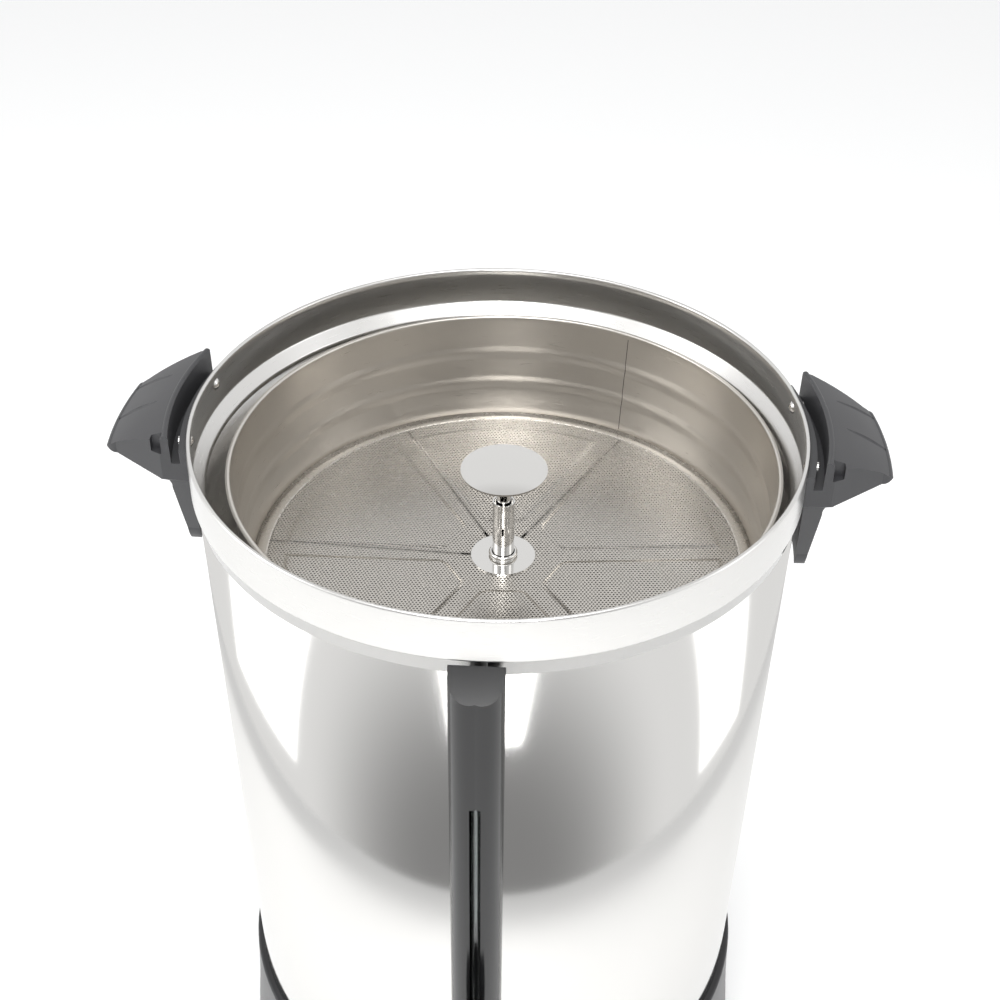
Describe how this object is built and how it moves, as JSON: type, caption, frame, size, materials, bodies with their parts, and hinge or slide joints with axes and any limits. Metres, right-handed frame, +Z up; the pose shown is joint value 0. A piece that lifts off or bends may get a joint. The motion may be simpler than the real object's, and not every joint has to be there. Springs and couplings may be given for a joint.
{
  "type": "coffee urn",
  "caption": "Tall round percolating coffee urn in stainless steel, open at the top on its strainer basket and pump tube, with two side handles, a front tap and a level gauge.",
  "frame": {"origin": "on the table, under the middle of the urn's outline; the vessel's axis is 24.5 mm behind it", "axes": "+Z up, the tap faces -Y, the side handles lie along +X and -X"},
  "size_m": [0.3682, 0.34, 0.453],
  "materials": {
    "rim_steel": "polished",
    "tank_steel": "satin",
    "basket_steel": "satin",
    "bright_steel": "polished",
    "handle_plastic": "matt moulded",
    "base_plastic": "satin moulded",
    "tap_plastic": "gloss",
    "rubber": "matt",
    "glass": "clear",
    "lamp_green": "translucent",
    "lamp_red": "translucent",
    "brass": "bright"
  },
  "bodies": {
    "urn": {"collar": "rim_steel", "vessel_wall": "rim_steel", "vessel_floor": "tank_steel", "heater_ring": "tank_steel", "keep_warm_ring": "base_plastic", "brew_thermostat": "base_plastic", "fuse_clip": "tank_steel", "thermal_fuse": "base_plastic", "base_skirt": "base_plastic", "base_cover": "base_plastic", "cover_screws": "bright_steel", "feet": "rubber", "handle_left": "handle_plastic", "handle_right": "handle_plastic", "rivets_left": "bright_steel", "rivets_right": "bright_steel", "tap_body": "tap_plastic", "tap_seal_outer": "rubber", "tap_seal_inner": "rubber", "tap_nut": "handle_plastic", "tap_bonnet": "tap_plastic", "valve_spring": "bright_steel", "gauge_column": "tap_plastic", "gauge_seals": "rubber", "sight_glass": "glass", "gauge_foot": "tap_plastic", "gauge_spacer": "tap_plastic", "lamp_ready": "lamp_green", "lamp_power": "lamp_red", "switch_frame": "handle_plastic", "inlet_shell": "handle_plastic", "inlet_blades": "brass"},
    "pump": {"pump_tube": "bright_steel", "basket_seat_collar": "bright_steel", "pump_bell": "bright_steel", "valve_seat": "bright_steel", "valve_stop": "bright_steel"},
    "check_disc": {"valve_disc": "bright_steel"},
    "basket": {"basket_wall": "basket_steel", "strainer_plate": "basket_steel", "centre_disc": "bright_steel", "tube_sleeve": "bright_steel"},
    "spreader": {"spreader_cap": "bright_steel", "cap_stem": "bright_steel"},
    "tap_valve": {"valve_cup": "rubber", "valve_stem": "tap_plastic"},
    "tap_handle": {"tap_lever": "handle_plastic", "lever_pin": "bright_steel"},
    "rocker": {"switch_rocker": "tap_plastic"}
  },
  "joints": [
    {"name": "pump_lift", "type": "slide", "parent": "urn", "child": "pump", "axis": [0, 0, 1], "range_m": [0, 0.4]},
    {"name": "check_play", "type": "slide", "parent": "pump", "child": "check_disc", "axis": [0, 0, 1], "range_m": [0, 0.0015]},
    {"name": "basket_lift", "type": "slide", "parent": "pump", "child": "basket", "axis": [0, 0, 1], "range_m": [0, 0.04]},
    {"name": "spreader_lift", "type": "slide", "parent": "pump", "child": "spreader", "axis": [0, 0, 1], "range_m": [0, 0.05]},
    {"name": "valve_lift", "type": "slide", "parent": "urn", "child": "tap_valve", "axis": [0, 0, 1], "range_m": [0, 0.0045], "deforming": ["valve_spring"]},
    {"name": "lever_tilt", "type": "hinge", "parent": "tap_valve", "child": "tap_handle", "pos_m": [0, -0.1525, 0.163], "axis": [1, 0, 0], "range_deg": [0, 35], "stiffness_Nm_per_rad": 0.6, "springref_deg": -8.59},
    {"name": "rocker_tilt", "type": "hinge", "parent": "urn", "child": "rocker", "pos_m": [0.10456, -0.06965, 0.054], "axis": [0.6691, 0.7431, 0], "range_deg": [0, 18]}
  ],
  "couplings": [
    {"joint": "valve_lift", "follows": "lever_tilt", "m_per_rad": 0.0065}
  ]
}
